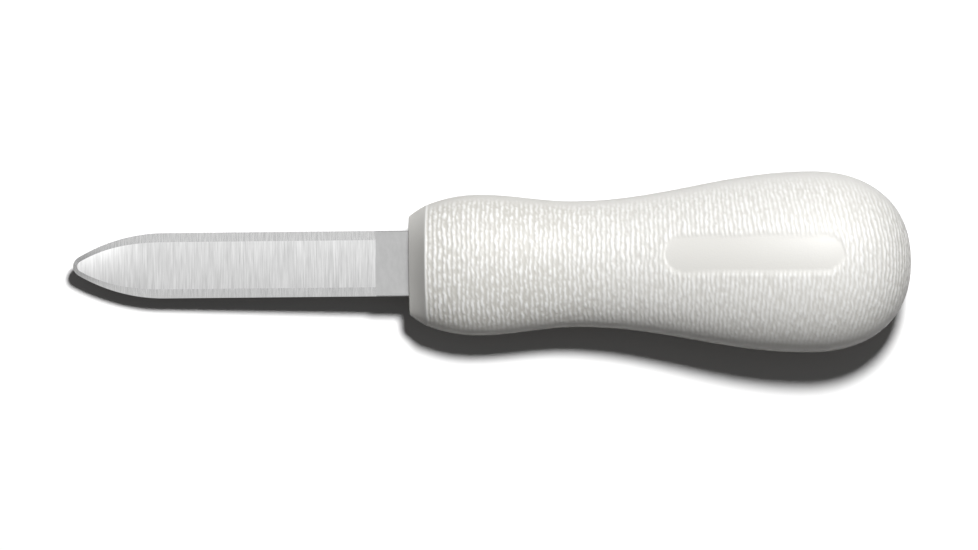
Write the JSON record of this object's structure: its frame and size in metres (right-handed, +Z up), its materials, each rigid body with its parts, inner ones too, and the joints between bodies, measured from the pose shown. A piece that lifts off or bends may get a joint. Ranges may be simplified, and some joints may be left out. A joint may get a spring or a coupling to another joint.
{
  "type": "oyster knife",
  "caption": "Oyster knife lying on its side: a short broad steel blade with a slightly upturned point and bevelled edges, in a thick waisted white plastic handle with a domed rear.",
  "frame": {"origin": "centre of the bounding box in plan, on the floor that the knife lies on", "axes": "+X from the blade's tip to the domed rear of the handle, +Z up from the floor, +Y across the knife; the knife rests on the handle's front bulge and rear swell, so its own middle line rises 3.59 degrees towards +X"},
  "size_m": [0.174, 0.0375, 0.0271],
  "materials": {
    "blade_steel": "stainless steel ground across the blade, with fine grind lines from edge to edge",
    "handle_plastic": "white polypropylene with a moulded texture of fine broken ribs round the grip, smooth at the front cove and in the sunk panel"
  },
  "bodies": {
    "root": {"blade": "blade_steel", "handle": "handle_plastic"}
  },
  "joints": []
}
